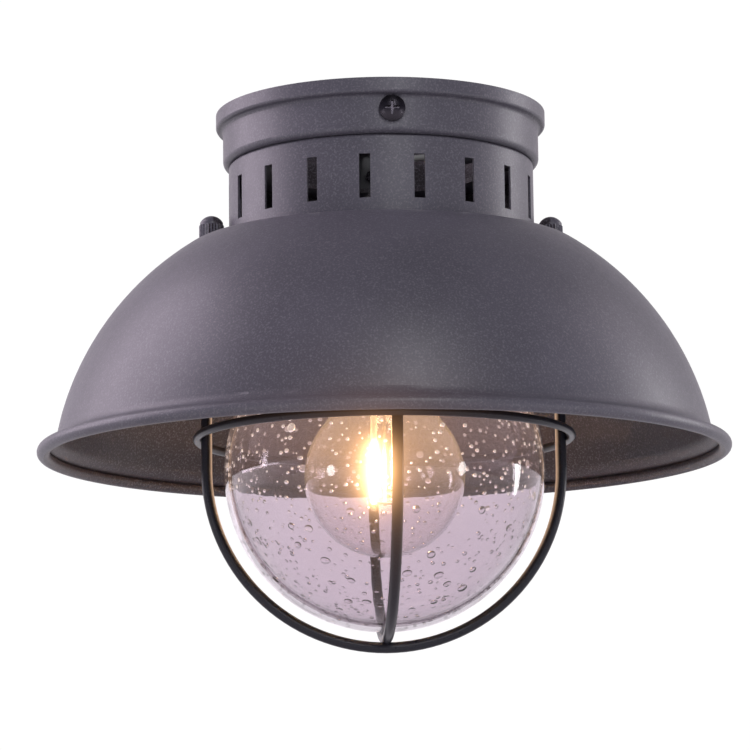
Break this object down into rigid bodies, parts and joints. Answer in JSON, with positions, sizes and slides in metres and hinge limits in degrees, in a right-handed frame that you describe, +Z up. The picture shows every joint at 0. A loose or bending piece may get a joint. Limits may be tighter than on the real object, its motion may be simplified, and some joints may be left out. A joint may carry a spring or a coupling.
{
  "type": "porch ceiling lantern",
  "caption": "Flush ceiling lantern: slotted neck, wide dome shade, and a seeded glass globe in a wire cage held up by knurled knobs.",
  "frame": {"origin": "centre of the mounting strap's slots, in the plane of the ceiling", "axes": "+Z up towards the ceiling, -Y towards the front canopy screw, the two knobs on the X axis"},
  "size_m": [0.254, 0.254, 0.1999],
  "materials": {
    "powder_coat": "matte, fine-textured charcoal powder coat",
    "dark_screw": "satin, painted dark",
    "zinc_steel": "satin zinc plate",
    "green_screw": "satin",
    "porcelain": "glossy glazed porcelain",
    "socket_brass": "satin",
    "black_lead": "satin",
    "white_lead": "satin",
    "connector_shell": "satin",
    "seeded_glass": "clear, polished, with small air bubbles",
    "gasket": "matte",
    "bulb_glass": "clear, polished",
    "cap_nickel": "satin nickel plate",
    "cap_insulator": "glossy black",
    "support_wire": "satin",
    "filament": "glowing warm white"
  },
  "bodies": {
    "fixture": {"mounting_strap": "zinc_steel", "ground_screw": "green_screw", "canopy": "powder_coat", "canopy_screws": "dark_screw", "vent_neck": "powder_coat", "neck_rivets": "powder_coat", "shade": "powder_coat", "shade_screws": "zinc_steel", "shade_nuts": "zinc_steel", "fitter_cup": "powder_coat", "socket_bridge": "zinc_steel", "bridge_screws": "zinc_steel", "bridge_nuts": "zinc_steel", "nipple": "zinc_steel", "nipple_locknut": "zinc_steel", "nipple_washer": "zinc_steel", "socket_body": "porcelain", "socket_shell": "socket_brass", "centre_contact": "socket_brass", "terminal_screws": "socket_brass", "lead_live": "black_lead", "lead_neutral": "white_lead", "wire_connectors": "connector_shell"},
    "cage": {"side_hoop": "powder_coat", "front_hoop": "powder_coat", "seat_ring": "powder_coat", "guard_ring": "powder_coat", "globe": "seeded_glass", "upper_gasket": "gasket", "lower_gasket": "gasket"},
    "bulb": {"bulb_envelope": "bulb_glass", "bulb_cap": "cap_nickel", "bulb_insulator": "cap_insulator", "bulb_contact": "cap_nickel", "bulb_stem": "bulb_glass", "filament_supports": "support_wire", "bulb_filaments": "filament"},
    "left_washer": {"knob_washer_left": "powder_coat"},
    "left_knob": {"knob_left": "powder_coat"},
    "right_washer": {"knob_washer_right": "powder_coat"},
    "right_knob": {"knob_right": "powder_coat"}
  },
  "joints": [
    {"name": "cage_lower", "type": "slide", "parent": "fixture", "child": "cage", "axis": [0, 0, -1], "range_m": [0, 0.13]},
    {"name": "bulb_unscrew", "type": "slide", "parent": "fixture", "child": "bulb", "axis": [0, 0, -1], "range_m": [0, 0.018]},
    {"name": "left_knob_lift", "type": "slide", "parent": "fixture", "child": "left_washer", "axis": [0, 0, 1], "range_m": [0, 0.009]},
    {"name": "left_knob_turn", "type": "hinge", "parent": "left_washer", "child": "left_knob", "pos_m": [-0.063, 0, -0.0484], "axis": [0, 0, 1], "range_deg": [0, 4650]},
    {"name": "right_knob_lift", "type": "slide", "parent": "fixture", "child": "right_washer", "axis": [0, 0, 1], "range_m": [0, 0.009]},
    {"name": "right_knob_turn", "type": "hinge", "parent": "right_washer", "child": "right_knob", "pos_m": [0.063, 0, -0.0484], "axis": [0, 0, 1], "range_deg": [0, 4650]}
  ],
  "couplings": [
    {"joint": "left_knob_turn", "follows": "left_knob_lift", "rad_per_m": 8976},
    {"joint": "right_knob_turn", "follows": "right_knob_lift", "rad_per_m": 8976}
  ]
}
